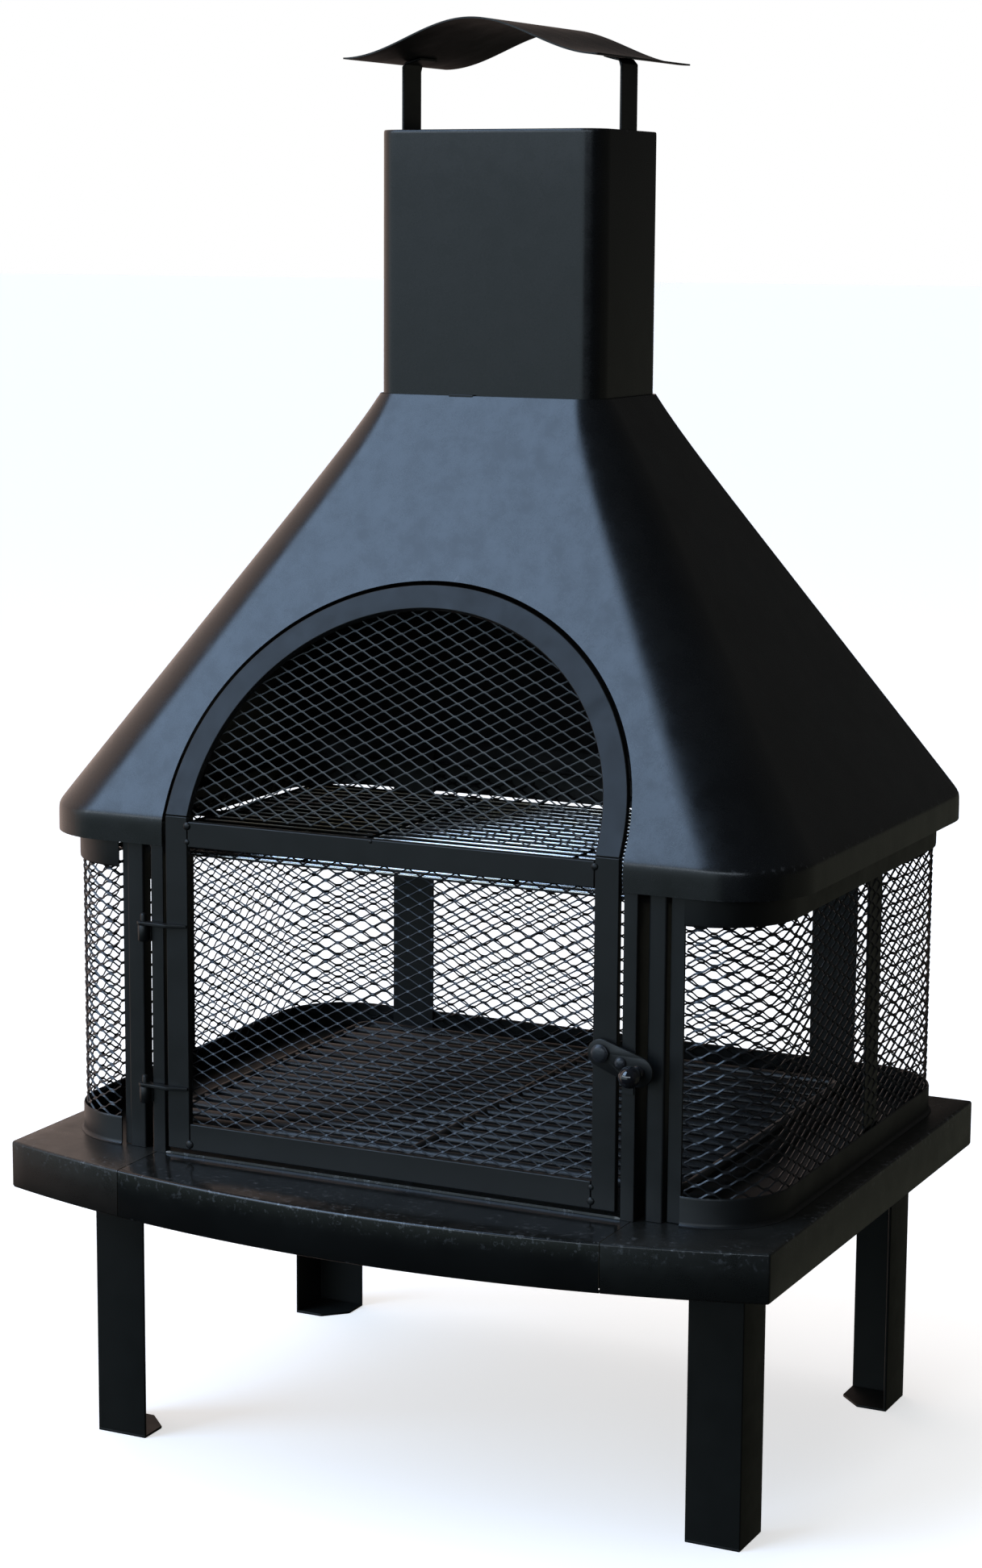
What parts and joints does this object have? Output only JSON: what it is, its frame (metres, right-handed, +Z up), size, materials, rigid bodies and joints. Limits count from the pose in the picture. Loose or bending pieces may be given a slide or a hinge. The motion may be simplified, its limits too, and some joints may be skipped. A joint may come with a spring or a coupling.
{
  "type": "chiminea",
  "caption": "Steel garden chiminea on four angle legs: mesh-sided firebox, hipped hood with chimney and cap, hinged arched mesh door, grates and a slide-out ash pan.",
  "frame": {"origin": "on the floor, under the middle of the object's bounding box", "axes": "+Z up, the front with its door faces -Y, +X to the right as seen from the front"},
  "size_m": [0.645, 0.5302, 1.129],
  "materials": {
    "hood_paint": "satin black heat-resistant paint, softly reflecting",
    "satin_black_paint": "satin black heat-resistant paint",
    "ledge_gloss_paint": "semi-gloss black paint",
    "pan_paint": "matte black paint, ash-dusted inside",
    "expanded_mesh": "black painted expanded steel mesh",
    "chrome_wire": "bright chromed wire",
    "fire_grate_bar": "glossy black bar with soot",
    "dark_fastener": "blackened fastener",
    "gloss_knob": "gloss black ball"
  },
  "bodies": {
    "frame": {"bracket_front_left": "satin_black_paint", "bracket_front_right": "satin_black_paint", "bracket_side_left": "satin_black_paint", "bracket_side_right": "satin_black_paint", "cap": "hood_paint", "cap_strap_left": "satin_black_paint", "cap_strap_right": "satin_black_paint", "chimney": "hood_paint", "deck": "satin_black_paint", "foot_front_left": "satin_black_paint", "foot_front_right": "satin_black_paint", "foot_rear_left": "satin_black_paint", "foot_rear_right": "satin_black_paint", "hood": "hood_paint", "jamb_left": "satin_black_paint", "jamb_right": "satin_black_paint", "latch_keeper": "satin_black_paint", "leg_bolt_front_left": "dark_fastener", "leg_bolt_front_right": "dark_fastener", "leg_bolt_rear_left": "dark_fastener", "leg_bolt_rear_right": "dark_fastener", "leg_front_left": "satin_black_paint", "leg_front_right": "satin_black_paint", "leg_rear_left": "satin_black_paint", "leg_rear_right": "satin_black_paint", "lower_band": "satin_black_paint", "pan_runner_left": "satin_black_paint", "pan_runner_right": "satin_black_paint", "pintle_lower": "satin_black_paint", "pintle_upper": "satin_black_paint", "post_left": "satin_black_paint", "post_right": "satin_black_paint", "rear_post_left": "satin_black_paint", "rear_post_right": "satin_black_paint", "screen_bar_left": "satin_black_paint", "screen_bar_right": "satin_black_paint", "screen_left": "expanded_mesh", "screen_rear": "expanded_mesh", "screen_right": "expanded_mesh", "side_strip_left": "satin_black_paint", "side_strip_right": "satin_black_paint", "upper_band": "satin_black_paint"},
    "door": {"stile_left": "satin_black_paint", "stile_right": "satin_black_paint", "arch": "satin_black_paint", "mid_rail": "satin_black_paint", "bottom_rail": "satin_black_paint", "door_mesh_lower": "expanded_mesh", "door_mesh_upper": "expanded_mesh", "hinge_leaf_lower": "satin_black_paint", "hinge_leaf_upper": "satin_black_paint", "latch_bolt": "dark_fastener", "latch_washer": "dark_fastener"},
    "latch": {"latch_plate": "satin_black_paint", "latch_knob": "gloss_knob", "latch_rivet": "dark_fastener"},
    "ash_drawer": {"ash_pan": "pan_paint", "ash_pan_front": "ledge_gloss_paint"},
    "cooking_grate_body": {"cooking_grate": "chrome_wire"},
    "fire_grate_body": {"fire_grate": "fire_grate_bar"}
  },
  "joints": [
    {"name": "door_hinge", "type": "hinge", "parent": "frame", "child": "door", "pos_m": [-0.2112, -0.1895, 0.38], "axis": [0, 0, 1], "range_deg": [-110, 0]},
    {"name": "latch_pivot", "type": "hinge", "parent": "door", "child": "latch", "pos_m": [0.1805, -0.1935, 0.38], "axis": [0, -1, 0], "range_deg": [0, 45]},
    {"name": "ash_pan_slide", "type": "slide", "parent": "frame", "child": "ash_drawer", "axis": [0, -1, 0], "range_m": [0, 0.3]},
    {"name": "cooking_grate_lift", "type": "slide", "parent": "frame", "child": "cooking_grate_body", "axis": [0, 0, 1], "range_m": [0, 0.012]},
    {"name": "fire_grate_lift", "type": "slide", "parent": "frame", "child": "fire_grate_body", "axis": [0, 0, 1], "range_m": [0, 0.05]}
  ]
}
